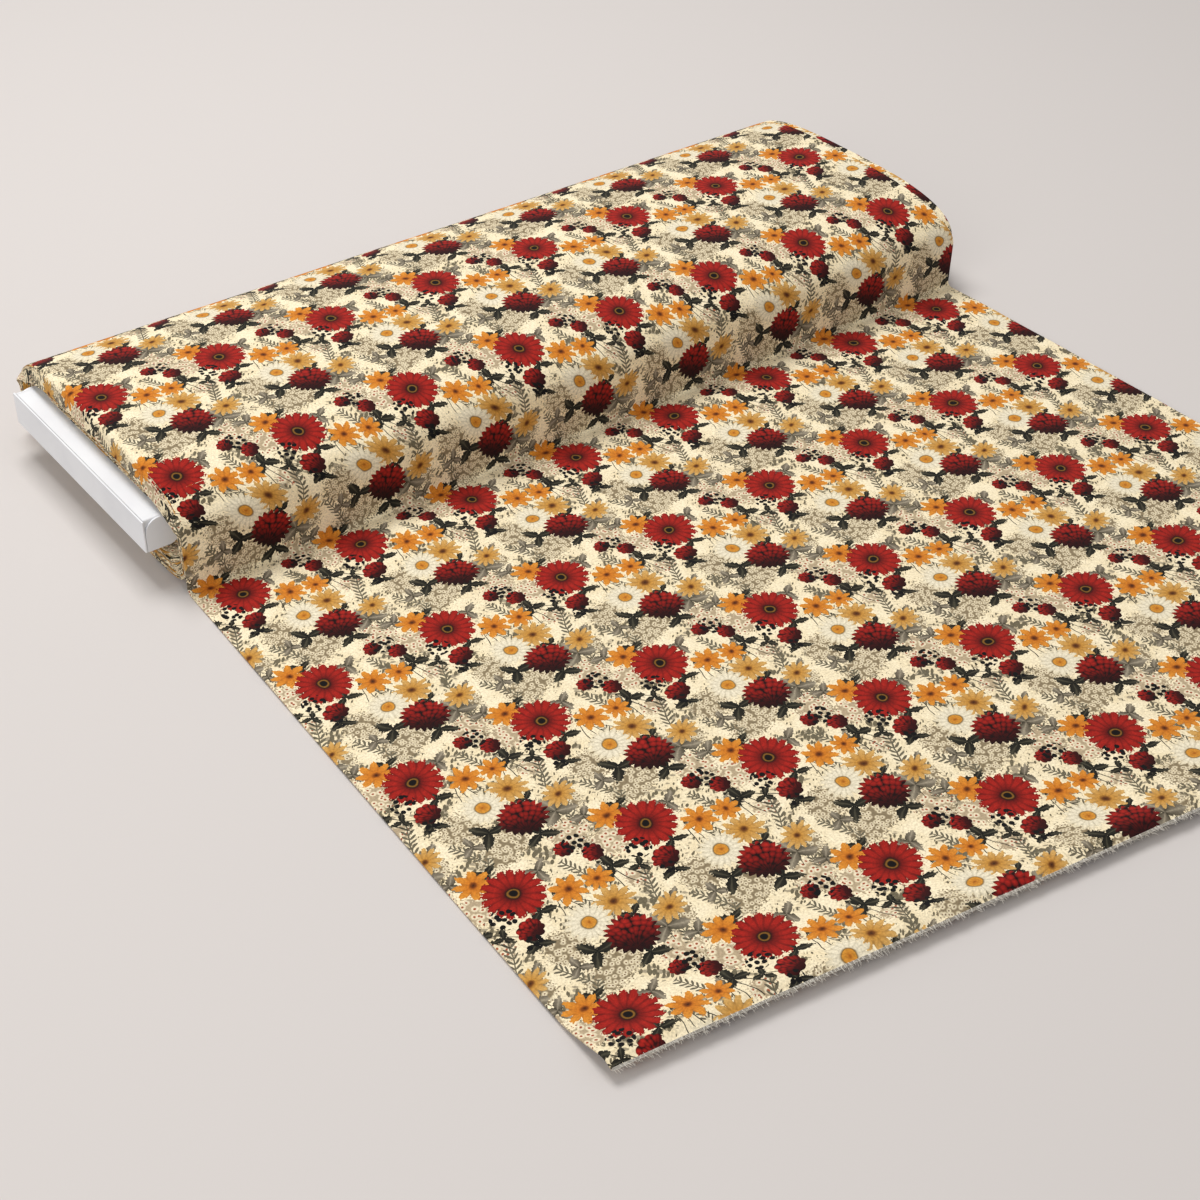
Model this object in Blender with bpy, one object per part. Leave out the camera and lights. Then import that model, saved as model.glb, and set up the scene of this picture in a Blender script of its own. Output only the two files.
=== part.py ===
"""A bolt of printed cloth: doubled cloth wound on a folded card board, with one length drawn off it.

The bolt's length runs along X, the drawn-off length lies towards -Y, and +Z is up. Everything stands on
z = 0. Before the last shift, x = 0 is the folded edge of the wound cloth and y = 0 is the crease where the
cloth leaves the bolt. All sizes are in metres and all angles in radians.
"""

import math

import bmesh
import bpy
import numpy as np

# Card board
BOARD_LENGTH = 0.762
BOARD_WIDTH = 0.203
BOARD_THICK = 0.0254
CARD = 0.0015
FOLD_RADIUS = 0.0012  # outside radius of the folds along the board
BOARD_OVERHANG = 0.015  # how far the board stands out of the cloth at its open end
TAB_LENGTH = 0.024
TAB_TIP_RADIUS = 0.007
TAB_ROOT_RADIUS = 0.011  # the tab's upper corner at its crease is cut away, so that it folds freely
RIB_COUNT = 6
RIB_FLANGE = 0.014
RIB_CARD = 0.0010
STIFFENER_FLANGE = 0.030
STIFFENER_INSET = 0.010  # from the end panel to the stiffener's web

# Cloth
CLOTH_WIDTH = 0.740  # folded width, from the fold to the selvedges
CLOTH_THICK = 0.0018  # doubled cloth as it lies
WINDING = 0.0263  # wound cloth above and below the board
EDGE_SLACK = 0.0022  # the turns stand this much looser round the board's narrow edges
SELVEDGE_SHIFT = 0.005  # the inner turns stand out past the outer one at the selvedge end
LAID_LENGTH = 0.508  # along the folded edge
CUT_SKEW = math.radians(7.8)
FOLD_FLARE = math.radians(2.4)
SELVEDGE_FLARE = math.radians(0.4)

# Bolt section
MID_SHARE = 0.47  # height of the widest level over the bolt's whole height
UPPER_POWER = 3.0
LOWER_POWER = 4.5
BED = 0.0015  # how far the weight flattens the underside
SECTION_POINTS = 56

# Fits
GAP = 0.0003  # between pieces that touch
SLIP = 0.0007  # between the board and the cloth round it
TAB_ROOM = 0.0012  # beyond the arc that a tab sweeps

# Worked out from the sizes above
BOLT_DEPTH = BOARD_WIDTH + 2 * (WINDING + EDGE_SLACK)
BOLT_HEIGHT = BOARD_THICK + 2 * WINDING
BOLT_FRONT = GAP
BOLT_MIDDLE = BOLT_FRONT + BOLT_DEPTH / 2
BOARD_LEFT = -BOARD_OVERHANG
BOARD_RIGHT = BOARD_LEFT + BOARD_LENGTH
BOARD_FRONT = BOLT_MIDDLE - BOARD_WIDTH / 2
BOARD_BACK = BOLT_MIDDLE + BOARD_WIDTH / 2
BOARD_BOTTOM = WINDING
BOARD_TOP = BOARD_BOTTOM + BOARD_THICK
WRAP_LEFT = BOARD_LEFT + CARD + GAP
WRAP_RIGHT = BOARD_RIGHT - CARD - GAP
TAB_FRONT_FACE = BOARD_FRONT - GAP - CARD  # outer face of the front tabs
TAB_BACK_FACE = BOARD_BACK + GAP + CARD
HINGE_X = BOARD_LEFT + CARD  # inner face of the left end panel
FRONT_LEFT = (-LAID_LENGTH * math.tan(FOLD_FLARE), -LAID_LENGTH)
CUT_RUN = CLOTH_WIDTH - FRONT_LEFT[0]
RIGHT_LENGTH = LAID_LENGTH + CUT_RUN * math.tan(CUT_SKEW)
FRONT_RIGHT = (CLOTH_WIDTH + RIGHT_LENGTH * math.tan(SELVEDGE_FLARE), -RIGHT_LENGTH)
LOW_X = min(BOARD_LEFT, FRONT_LEFT[0])
HIGH_X = max(BOARD_RIGHT, FRONT_RIGHT[0])
SHIFT = np.array([-(LOW_X + HIGH_X) / 2, (RIGHT_LENGTH - BOLT_FRONT - BOLT_DEPTH) / 2, 0.0])


def material(name, colour, roughness, metallic=0.0):
    """A plain finish for one kind of piece."""
    made = bpy.data.materials.new(name)
    made.use_nodes = True
    shader = made.node_tree.nodes["Principled BSDF"]
    shader.inputs["Base Color"].default_value = (*colour, 1.0)
    shader.inputs["Roughness"].default_value = roughness
    shader.inputs["Metallic"].default_value = metallic
    return made


def joint_empty(name, point, parent=None):
    """An empty on a joint's axis. The pieces that move with the joint hang from it."""
    empty = bpy.data.objects.new(name, None)
    bpy.context.scene.collection.objects.link(empty)
    empty["at"] = [float(v) for v in point]
    base = np.array(parent["at"]) if parent else -SHIFT
    empty.location = np.array(point) - base
    empty.parent = parent
    return empty


def finish(name, mesh_builder, finish_material, parent):
    """Turns a bmesh in the bolt's own coordinates into an object whose origin is its parent's."""
    bmesh.ops.recalc_face_normals(mesh_builder, faces=mesh_builder.faces)
    bmesh.ops.translate(mesh_builder, vec=-np.array(parent["at"]), verts=mesh_builder.verts)
    mesh = bpy.data.meshes.new(name)
    mesh_builder.to_mesh(mesh)
    mesh_builder.free()
    mesh.materials.append(finish_material)
    piece = bpy.data.objects.new(name, mesh)
    piece.parent = parent
    bpy.context.scene.collection.objects.link(piece)
    return piece


def prism(outline, axes, low, high):
    """Extrudes a flat outline, whose two columns lie along the two named axes, from low to high."""
    first, second = ("XYZ".index(letter) for letter in axes)
    third = 3 - first - second
    points = np.zeros((len(outline), 3))
    points[:, [first, second]] = outline
    points[:, third] = low
    shape = bmesh.new()
    face = shape.faces.new([shape.verts.new(point) for point in points])
    raised = bmesh.ops.extrude_face_region(shape, geom=[face])["geom"]
    vector = [0.0, 0.0, 0.0]
    vector[third] = high - low
    moved = [item for item in raised if isinstance(item, bmesh.types.BMVert)]
    bmesh.ops.translate(shape, vec=vector, verts=moved)
    return shape


def rounded(corners, steps=4):
    """An outline whose corners, given as (u, v, radius), are rounded by arcs of equal steps."""
    outline = []
    for index, (u, v, radius) in enumerate(corners):
        here = np.array([u, v])
        if radius <= 0:
            outline.append(here)
            continue
        before = np.array(corners[index - 1][:2]) - here
        after = np.array(corners[(index + 1) % len(corners)][:2]) - here
        before /= np.linalg.norm(before)
        after /= np.linalg.norm(after)
        half_angle = math.acos(float(np.clip(before @ after, -1, 1))) / 2
        middle = before + after
        centre = here + middle / np.linalg.norm(middle) * radius / math.sin(half_angle)
        start = here + before * radius / math.tan(half_angle) - centre
        end = here + after * radius / math.tan(half_angle) - centre
        for step in range(steps + 1):
            mixed = start * (steps - step) + end * step
            outline.append(centre + mixed / np.linalg.norm(mixed) * radius)
    return np.array(outline)


def bolt_outline(inset, angles):
    """Points of the bolt's section at these angles, drawn in by the inset except on its flat underside.

    It is a superellipse in polar form, r = (|cos|^n + |sin|^n)^(-1/n), with one power above the widest level
    and another below it. The underside is cut off flat where the bolt lies on the table. Angle 0 is the
    front, and the angles run over the top to the back.
    """
    middle = MID_SHARE * BOLT_HEIGHT
    upper = BOLT_HEIGHT - middle - inset
    lower = middle + BED
    power = np.where(np.sin(angles) >= 0, UPPER_POWER, LOWER_POWER)
    across = np.abs(np.cos(angles)) ** power
    upright = np.abs(np.sin(angles)) ** power
    radius = (across + upright) ** (-1 / power)
    y = BOLT_MIDDLE - (BOLT_DEPTH / 2 - inset) * radius * np.cos(angles)
    z = middle + np.where(np.sin(angles) >= 0, upper, lower) * radius * np.sin(angles)
    return np.column_stack([y, np.maximum(z, 0.0)])


def laid_length(parent):
    """The doubled length that lies in front of the bolt, cut a little off square."""
    outline = [(0.0, 0.0), FRONT_LEFT, FRONT_RIGHT, (CLOTH_WIDTH, 0.0)]
    finish("laid_length", prism(outline, "XY", 0.0, CLOTH_THICK), PRINTED_CLOTH, parent)


def outer_turn(parent):
    """The last turn: up the bolt's front from the laid length, over its top and down its back."""
    angles = np.linspace(0.0, math.pi * 1.08, SECTION_POINTS)
    outside = bolt_outline(0.0, angles)
    inside = bolt_outline(CLOTH_THICK, angles)
    foot = CLOTH_THICK + GAP
    outer_foot = [BOLT_FRONT, foot]
    inner_foot = [BOLT_FRONT + CLOTH_THICK, foot]
    outline = np.vstack([outer_foot, outside, inside[::-1], inner_foot])
    finish("outer_turn", prism(outline, "YZ", 0.0, CLOTH_WIDTH), PRINTED_CLOTH, parent)


def cutter(name, shape, target, parent):
    """Cuts the shape out of the target. The cutter stays in the file as a hidden guide."""
    guide = finish(name, shape, PRINTED_CLOTH, parent)
    guide.hide_render = True
    guide.display_type = "WIRE"
    cut = target.modifiers.new(name, "BOOLEAN")
    cut.operation = "DIFFERENCE"
    cut.solver = "EXACT"
    cut.object = guide


def tab_sweep(hinge_y):
    """The room that a tab and the end panel under it sweep as they open: a disc round the tab's crease."""
    reach = TAB_LENGTH + TAB_ROOM
    fall = math.hypot(TAB_LENGTH, BOARD_THICK) ** 2 - BOARD_OVERHANG**2
    low = BOARD_TOP - math.sqrt(fall) - TAB_ROOM
    high = BOARD_TOP + SLIP
    turns = np.linspace(0, 2 * math.pi, 48, endpoint=False)
    outline = np.column_stack([HINGE_X + reach * np.cos(turns), hinge_y + reach * np.sin(turns)])
    return prism(outline, "XY", low, high)


def wound_pack(parent):
    """All the inner turns as one soft body, open from end to end where the board slides in."""
    angles = np.linspace(0.0, 2 * math.pi, 2 * SECTION_POINTS, endpoint=False)
    outline = bolt_outline(CLOTH_THICK + GAP, angles)
    shape = prism(outline, "YZ", 0.0, CLOTH_WIDTH + SELVEDGE_SHIFT)
    pack = finish("wound_pack", shape, PLAIN_CLOTH, parent)
    low_y, high_y = TAB_FRONT_FACE - SLIP, TAB_BACK_FACE + SLIP
    low_z, high_z = BOARD_BOTTOM - SLIP, BOARD_TOP + SLIP
    pocket = [(low_y, low_z), (high_y, low_z), (high_y, high_z), (low_y, high_z)]
    past = BOARD_OVERHANG
    through = prism(pocket, "YZ", -past, CLOTH_WIDTH + SELVEDGE_SHIFT + past)
    cutter("board_pocket", through, pack, parent)
    cutter("front_tab_room", tab_sweep(TAB_FRONT_FACE), pack, parent)
    cutter("back_tab_room", tab_sweep(TAB_BACK_FACE), pack, parent)


def board_wrap(parent):
    """One sheet of card folded round into a flat tube, its last panel glued outside the lap at the back."""
    front, back = BOARD_FRONT, BOARD_BACK
    low, high = BOARD_BOTTOM, BOARD_TOP
    lap_out = back - CARD - GAP
    lap_in = lap_out - CARD
    corners = [
        (front, low, FOLD_RADIUS),
        (back, low, FOLD_RADIUS),
        (back, high, 0),
        (back - CARD, high, 0),
        (back - CARD, low + CARD, 0),
        (front + CARD, low + CARD, 0),
        (front + CARD, high - CARD, 0),
        (lap_in, high - CARD, 0),
        (lap_in, low + CARD + GAP, 0),
        (lap_out, low + CARD + GAP, 0),
        (lap_out, high, 0),
        (front, high, FOLD_RADIUS),
    ]
    shape = prism(rounded(corners), "YZ", WRAP_LEFT, WRAP_RIGHT)
    finish("board_wrap", shape, WHITE_CARD, parent)


def channel(name, web_x, flange, parent):
    """A cross strip folded to a channel: a web across the board and a flange under each face.

    A negative flange points the flanges towards -X.
    """
    low = BOARD_BOTTOM + CARD + GAP
    high = BOARD_TOP - CARD - GAP
    wall = math.copysign(RIB_CARD, flange)
    outline = [
        (web_x, low),
        (web_x + flange, low),
        (web_x + flange, low + RIB_CARD),
        (web_x + wall, low + RIB_CARD),
        (web_x + wall, high - RIB_CARD),
        (web_x + flange, high - RIB_CARD),
        (web_x + flange, high),
        (web_x, high),
    ]
    front = BOARD_FRONT + CARD + GAP
    back = BOARD_BACK - 2 * (CARD + GAP)
    finish(name, prism(outline, "XZ", front, back), BROWN_CARD, parent)


def inner_card(parent):
    """The strips that hold the board's two faces apart."""
    left = WRAP_LEFT + STIFFENER_INSET
    right = WRAP_RIGHT - STIFFENER_INSET
    channel("end_stiffener_left", left, STIFFENER_FLANGE, parent)
    channel("end_stiffener_right", right, -STIFFENER_FLANGE, parent)
    step = (right - left) / (RIB_COUNT + 1)
    for number in range(1, RIB_COUNT + 1):
        channel(f"cross_rib_{number}", left + step * number, RIB_FLANGE, parent)


def end_panel(name, low_x, parent):
    """The flap that closes one end of the board."""
    outline = [
        (TAB_FRONT_FACE, BOARD_BOTTOM),
        (TAB_BACK_FACE, BOARD_BOTTOM),
        (TAB_BACK_FACE, BOARD_TOP),
        (TAB_FRONT_FACE, BOARD_TOP),
    ]
    finish(name, prism(outline, "YZ", low_x, low_x + CARD), WHITE_CARD, parent)


def tab(name, root_x, direction, low_y, parent):
    """A tab folded round the corner from an end panel on to the board's narrow edge."""
    tip_x = root_x + direction * TAB_LENGTH
    corners = [
        (root_x, BOARD_BOTTOM, 0),
        (tip_x, BOARD_BOTTOM, TAB_TIP_RADIUS),
        (tip_x, BOARD_TOP, TAB_TIP_RADIUS),
        (root_x, BOARD_TOP, TAB_ROOT_RADIUS),
    ]
    finish(name, prism(rounded(corners, 6), "XZ", low_y, low_y + CARD), WHITE_CARD, parent)


for old in list(bpy.data.objects):
    bpy.data.objects.remove(old)

PRINTED_CLOTH = material("printed_cotton", (0.62, 0.47, 0.32), 0.85)
PLAIN_CLOTH = material("cotton_wrong_side", (0.78, 0.75, 0.70), 0.9)
WHITE_CARD = material("white_lined_card", (0.83, 0.83, 0.84), 0.6)
BROWN_CARD = material("brown_card", (0.36, 0.24, 0.14), 0.85)

table = joint_empty("laid_cloth_root", (0.0, 0.0, 0.0))
turn = joint_empty("bolt_turn", (0.0, 0.0, CLOTH_THICK), table)
slide = joint_empty("board_slide", (BOARD_LEFT, BOLT_MIDDLE, BOARD_BOTTOM), turn)
flap = joint_empty("flap_hinge", (HINGE_X, BOLT_MIDDLE, BOARD_TOP), slide)
front_fold = joint_empty("front_tab_fold", (HINGE_X, TAB_FRONT_FACE, BOARD_TOP), flap)
back_fold = joint_empty("back_tab_fold", (HINGE_X, TAB_BACK_FACE, BOARD_TOP), flap)

laid_length(table)
outer_turn(turn)
wound_pack(turn)
board_wrap(slide)
inner_card(slide)
end_panel("right_end_panel", BOARD_RIGHT - CARD, slide)
tab("right_front_tab", WRAP_RIGHT, -1, TAB_FRONT_FACE, slide)
tab("right_back_tab", WRAP_RIGHT, -1, BOARD_BACK + GAP, slide)
end_panel("left_end_panel", BOARD_LEFT, flap)
tab("left_front_tab", WRAP_LEFT, 1, TAB_FRONT_FACE, front_fold)
tab("left_back_tab", WRAP_LEFT, 1, BOARD_BACK + GAP, back_fold)
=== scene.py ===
"""The looks of a bolt of printed cotton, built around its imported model.

The cloth is made as the doubled sheet that it is, folded at the bolt's left end, from the cut edge of the
drawn-off length to the last turn on the card board. Lengths are metres in the row frame, except in the
print, which is laid out in millimetres.
"""

import math

import bpy
import numpy as np
from mathutils import Matrix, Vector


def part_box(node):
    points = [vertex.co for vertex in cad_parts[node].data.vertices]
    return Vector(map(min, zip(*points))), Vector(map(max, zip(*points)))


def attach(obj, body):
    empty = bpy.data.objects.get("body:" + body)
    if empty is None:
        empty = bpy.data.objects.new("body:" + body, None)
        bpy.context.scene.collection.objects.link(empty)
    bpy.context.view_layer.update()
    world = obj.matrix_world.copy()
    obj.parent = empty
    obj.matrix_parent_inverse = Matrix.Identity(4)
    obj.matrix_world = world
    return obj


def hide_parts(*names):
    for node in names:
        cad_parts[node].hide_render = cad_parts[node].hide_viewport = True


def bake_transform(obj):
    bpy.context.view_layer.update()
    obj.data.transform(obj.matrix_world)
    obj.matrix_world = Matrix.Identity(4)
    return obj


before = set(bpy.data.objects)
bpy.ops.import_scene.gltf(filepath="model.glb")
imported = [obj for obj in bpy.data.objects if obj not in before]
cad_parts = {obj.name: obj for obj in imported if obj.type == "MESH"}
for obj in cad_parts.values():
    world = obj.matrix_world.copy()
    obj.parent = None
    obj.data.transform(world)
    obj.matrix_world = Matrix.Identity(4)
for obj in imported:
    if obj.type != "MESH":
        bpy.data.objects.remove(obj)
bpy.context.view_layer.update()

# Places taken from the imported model
TURN_LOW, TURN_HIGH = (np.array(corner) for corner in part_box("outer_turn"))
LAID_LOW, LAID_HIGH = (np.array(corner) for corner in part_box("laid_length"))
PACK_HIGH = np.array(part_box("wound_pack")[1])
WRAP_LOW, WRAP_HIGH = (np.array(corner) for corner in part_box("board_wrap"))
ORIGIN = np.array([TURN_LOW[0], LAID_HIGH[1], 0.0])  # the folded edge, at the crease, on the table
WIDTH = TURN_HIGH[0] - TURN_LOW[0]
HALF_DEPTH = (TURN_HIGH[1] - TURN_LOW[1]) / 2
MIDDLE_Y = (TURN_HIGH[1] + TURN_LOW[1]) / 2 - ORIGIN[1]
HEIGHT = TURN_HIGH[2]
LAID_THICK = LAID_HIGH[2]
FLARE_X = LAID_LOW[0] - ORIGIN[0]  # the folded edge's corner at the cut
SELVEDGE_X = LAID_HIGH[0] - ORIGIN[0]
RIGHT_LENGTH = ORIGIN[1] - LAID_LOW[1]
BOARD_MIDDLE_Z = (WRAP_LOW[2] + WRAP_HIGH[2]) / 2
GAP = 0.0003  # between the board and its end panel
HINGE_X = WRAP_LOW[0] - ORIGIN[0] - GAP

# Cloth
LEFT_LENGTH = 0.508  # along the folded edge, from the crease to the cut
LEAF = 0.00034  # one leaf of quilting cotton
PITCH = 0.000985  # a doubled turn on the board, pressed by the winding
WOUND_THICK = 0.00086  # such a turn without the air around it
WINDING = 0.0256  # all the turns together, from the outside to the board
WIDEST = 0.47 * HEIGHT  # the level where the bolt is deepest from front to back
CREASE_RADIUS = 0.004
TELESCOPE = PACK_HIGH[0] - TURN_HIGH[0]  # how far the inner turns stand out at the selvedges
LIP_SLIP = 0.0105  # how far the last turn has slipped out over the top
LIP_START = 0.0065
LIP_RADIUS = 0.005
LIP_ANGLE = 1.35
SELVEDGE_FOLLOWS = 0.75  # the share of that slip that the selvedges follow
WANDER = 0.0006  # how far the last turn's edges wander
FOLDS_UNEVEN = 0.0011
SELVEDGES_UNEVEN = 0.0012
FOLD_PRINT = 0.003  # the width of print that goes round the fold
TAB_REACH = 0.0252  # how far the inner turns are pulled back from the board's end, to clear the tabs
TAB_LEVELS = (0.015, 0.020, 0.053, 0.056)  # the heights where that begins and ends
# How full the section's corners are, as 2^(-1/p) of a superellipse of power p
OUTER_FILL_ABOVE = 2 ** (-1 / 3.0)
OUTER_FILL_BELOW = 2 ** (-1 / 6.0)
INNER_FILL = 2 ** (-1 / 14.0)

# Where the cloth's pieces begin and end
FIRST_ANGLE = -20  # degrees round the bolt, where the front wall begins to curve
LAST_ANGLE = 352  # degrees round the bolt, where the last turn ends
WOUND_ANGLE = 350.2  # where the inner turns begin, just before it
FAN_START = 0.040  # ahead of the crease, where the laid rows begin to fan out
WALL_BLEND = 0.012  # half of the length over which the laid cloth gets as thin as a wound turn

# The cut edge: lifted off the table, with its rim hanging down
CUT_LIFT = 0.0090
CUT_LIFT_SPREAD = 0.0045  # added at random along the edge
CUT_REACH = 0.026
RIM_DROP = 0.48  # as a share of the lift
RIM_REACH = 0.0060
CUT_GAP = 0.0012  # between the two leaves
CUT_GAP_REACH = 0.030

# Soft waves of the laid length and of the last turn
SWELL = 0.0016
SLACK = 0.0007
BUCKLES = [  # height, place across, slant, width, place ahead of the crease, length
    (0.0030, 0.16, 0.8, 0.045, 0.035, 0.030),
    (0.0022, 0.47, 0.5, 0.060, 0.030, 0.026),
]

# Loose threads
CUT_THREAD_GAP = 0.0011
CUT_THREADS = (0.0012, 0.0036)  # shortest and longest
SELVEDGE_THREAD_GAP = 0.0013
SELVEDGE_THREADS = (0.0008, 0.0018)
THREAD_LOWEST = 0.0002  # so that none goes through the table
THREAD_RINGS = [(-0.25, 0.00020), (0.3, 0.00022), (0.75, 0.00014)]  # share of the length, radius
UNDER_BOLT = 0.085  # the laid length that the bolt lies on when it is turned

# The share of the baked picture's width for each part of a doubled sheet
UNDER_MAP = 0.10
FOLD_MAP = 0.02
UPPER_MAP = 0.70
WRONG_SIDE_START = 0.84
WRONG_SIDE_SCALE = 0.18
MAP_LEFT = 0.005
MAP_MARGIN = 0.003

WEAVE = 0.0011  # drawn thread spacing, where the real threads stand 0.38 mm apart
BUMP_DEPTH = 0.0002

CAMERA_PLACE = np.array([-0.4550, -1.0458, 0.8607])  # from the folded edge, at the crease
CAMERA_TURN = (37.99, 37.87, 1.02)  # yaw, pitch and roll in degrees

# Print, in millimetres
REPEAT = (96.0, 114.0)
MOTIF_SCALE = 0.84  # all motifs together, so that they fill the repeat without crowding
PRINT_SHIFT = (65.0, -26.0)


def linear(text):
    """An sRGB hex colour as linear red, green, blue and alpha."""
    parts = np.array([int(text[i : i + 2], 16) / 255 for i in (1, 3, 5)])
    light = np.where(parts <= 0.04045, parts / 12.92, ((parts + 0.055) / 1.055) ** 2.4)
    return (*light, 1.0)


def add(tree, kind, *inputs, out=0, stops=None, **settings):
    """Adds a node, fills its inputs in order or by name with values or sockets, and gives one output."""
    made = tree.nodes.new("ShaderNode" + kind)
    named = {key: value for key, value in settings.items() if key[0].isupper()}
    for key in settings.keys() - named.keys():
        setattr(made, key, settings[key])
    if stops:
        ramp = made.color_ramp
        while len(ramp.elements) < len(stops):
            ramp.elements.new(1.0)
        for element, (position, colour) in zip(ramp.elements, stops):
            element.position = position
            element.color = colour
    free = [socket for socket in made.inputs if socket.enabled]
    pairs = list(zip(free, inputs)) + [(made.inputs[key], value) for key, value in named.items()]
    for socket, value in pairs:
        if isinstance(value, bpy.types.NodeSocket):
            tree.links.new(value, socket)
        elif value is not None:
            socket.default_value = value
    return [socket for socket in made.outputs if socket.enabled][out]


def new_material(name):
    """An empty material with a Principled shader, and its tree."""
    made = bpy.data.materials.new(name)
    made.use_nodes = True
    return made, made.node_tree, made.node_tree.nodes["Principled BSDF"]


# ---------------------------------------------------------------- print


def at(tree, place, spot):
    """The place seen from the nearest copy of a spot: turned, and measured in the spot's own size."""
    across, along, size, turn, squash = spot
    centre = (across * REPEAT[0], -along * REPEAT[1], 0.0)
    half = (REPEAT[0] / 2, REPEAT[1] / 2, 1.0)
    highest = tuple(c + h for c, h in zip(centre, half))
    lowest = tuple(c - h for c, h in zip(centre, half))
    near = add(tree, "VectorMath", place, highest, lowest, operation="WRAP")
    turned = (0.0, 0.0, math.radians(turn))
    size = size * MOTIF_SCALE
    scale = (size * squash, size, 1.0)
    return add(tree, "Mapping", near, centre, turned, scale, vector_type="TEXTURE")


def nearest(tree, place, spots):
    """The place seen from the nearest of several spots, and its distance in that spot's size."""
    best = at(tree, place, spots[0])
    distance = add(tree, "VectorMath", best, operation="LENGTH")
    for spot in spots[1:]:
        other = at(tree, place, spot)
        away = add(tree, "VectorMath", other, operation="LENGTH")
        closer = add(tree, "Math", away, distance, operation="LESS_THAN")
        best = add(tree, "Mix", closer, best, other, data_type="VECTOR")
        distance = add(tree, "Math", away, distance, operation="MINIMUM")
    return best, distance


def lobes(tree, local, distance, count, notch, power):
    """A ring of lobes: the field is the distance plus notch times the power of how far the angle is from
    a lobe's middle, and it is 1 on the outline. Also gives that angle wave, 0 in a lobe's middle to 0.5."""
    angle = add(tree, "TexGradient", local, out=1, gradient_type="RADIAL")
    turns = add(tree, "Math", angle, float(count), operation="MULTIPLY")
    wave = add(tree, "Math", turns, 0.5, operation="PINGPONG")
    bent = add(tree, "Math", wave, power, operation="POWER")
    field = add(tree, "Math", bent, notch * 2**power, distance, operation="MULTIPLY_ADD")
    return field, wave


def paint(tree, under, mask, over):
    """Lays one colour over another where the mask is 1."""
    return add(tree, "Mix", mask, under, over, data_type="RGBA")


def inside(tree, field, edge=1.0):
    """1 where the field is below its edge value. The brush noise averages about 0.5, so a field with a
    share s of it added has its edge near 1 + s / 2."""
    return add(tree, "Math", field, edge, operation="LESS_THAN")


def flower(tree, ground, place, spots, petals, colours, shade, brush):
    """A rosette: lobes coloured by the distance from the middle, darker along the gaps between them and
    in fine streaks along each petal."""
    count, notch, power = petals
    depth, gap_colour = shade
    local, distance = nearest(tree, place, spots)
    field, wave = lobes(tree, local, distance, count, notch, power)
    ragged = add(tree, "Math", brush, 0.35, field, operation="MULTIPLY_ADD")
    tone = add(tree, "ValToRGB", distance, stops=colours)
    streak = add(tree, "Math", wave, 0.12, operation="PINGPONG")
    gaps = add(tree, "Math", wave, 2.0, operation="MULTIPLY")
    sharp = add(tree, "Math", gaps, 3.0, operation="POWER")
    lines = add(tree, "Math", streak, 2.2, sharp, operation="MULTIPLY_ADD")
    amount = add(tree, "Math", lines, depth, operation="MULTIPLY")
    outer = add(tree, "Math", distance, amount, operation="MULTIPLY", use_clamp=True)
    shaded = add(tree, "Mix", outer, tone, gap_colour, data_type="RGBA")
    return paint(tree, ground, inside(tree, ragged, 1.17), shaded)


def dome_flower(tree, ground, place, spots, petals, colours, shade):
    """A many-petalled flower seen from the side: petals fan out of a point low in the dome, in overlapping
    rows, and the colour goes from bright at the top to nearly black at the calyx."""
    count, notch, power = petals
    rows, gap_colour = shade
    local, distance = nearest(tree, place, spots)
    field, _ = lobes(tree, local, distance, count, notch, power)
    lowered = add(tree, "VectorMath", local, (0.0, 0.75, 0.0), operation="ADD")
    fan = add(tree, "TexGradient", lowered, out=1, gradient_type="RADIAL")
    reach = add(tree, "VectorMath", lowered, operation="LENGTH")
    across = add(tree, "Math", fan, 30.0, operation="MULTIPLY")
    outward = add(tree, "Math", reach, rows, operation="MULTIPLY")
    polar = add(tree, "CombineXYZ", across, outward, 0.0)
    scale = add(tree, "TexVoronoi", polar, Scale=1.0, Randomness=0.55, voronoi_dimensions="2D")
    height = add(tree, "SeparateXYZ", local, out=1)
    raised = add(tree, "Math", height, 0.5, 0.5, operation="MULTIPLY_ADD")
    tone = add(tree, "ValToRGB", raised, stops=colours)
    gaps = add(tree, "Math", scale, 1.55, operation="MULTIPLY", use_clamp=True)
    bent = add(tree, "Math", gaps, 1.8, operation="POWER")
    shaded = add(tree, "Mix", bent, tone, gap_colour, data_type="RGBA")
    return paint(tree, ground, inside(tree, field), shaded)


def florets(tree, ground, place, spots, size, colours, edge_noise):
    """A head of small florets: one floret to each cell, inside blobs with a ragged edge."""
    _, distance = nearest(tree, place, spots)
    ragged = add(tree, "Math", edge_noise, 1.2, distance, operation="MULTIPLY_ADD")
    cells = add(tree, "TexVoronoi", place, Scale=1 / size, Randomness=0.9, voronoi_dimensions="2D")
    floret = add(tree, "ValToRGB", cells, stops=colours)
    return paint(tree, ground, inside(tree, ragged, 1.55), floret)


def leaf_group(tree, ground, place, spots, petals, colours, brush):
    """Pointed leaves that spread from one point, with toothed edges and a lighter midrib."""
    count, notch, power = petals
    local, distance = nearest(tree, place, spots)
    field, wave = lobes(tree, local, distance, count, notch, power)
    toothed = add(tree, "Math", brush, 0.5, field, operation="MULTIPLY_ADD")
    tone = add(tree, "ValToRGB", wave, stops=colours)
    return paint(tree, ground, inside(tree, toothed, 1.24), tone)


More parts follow.
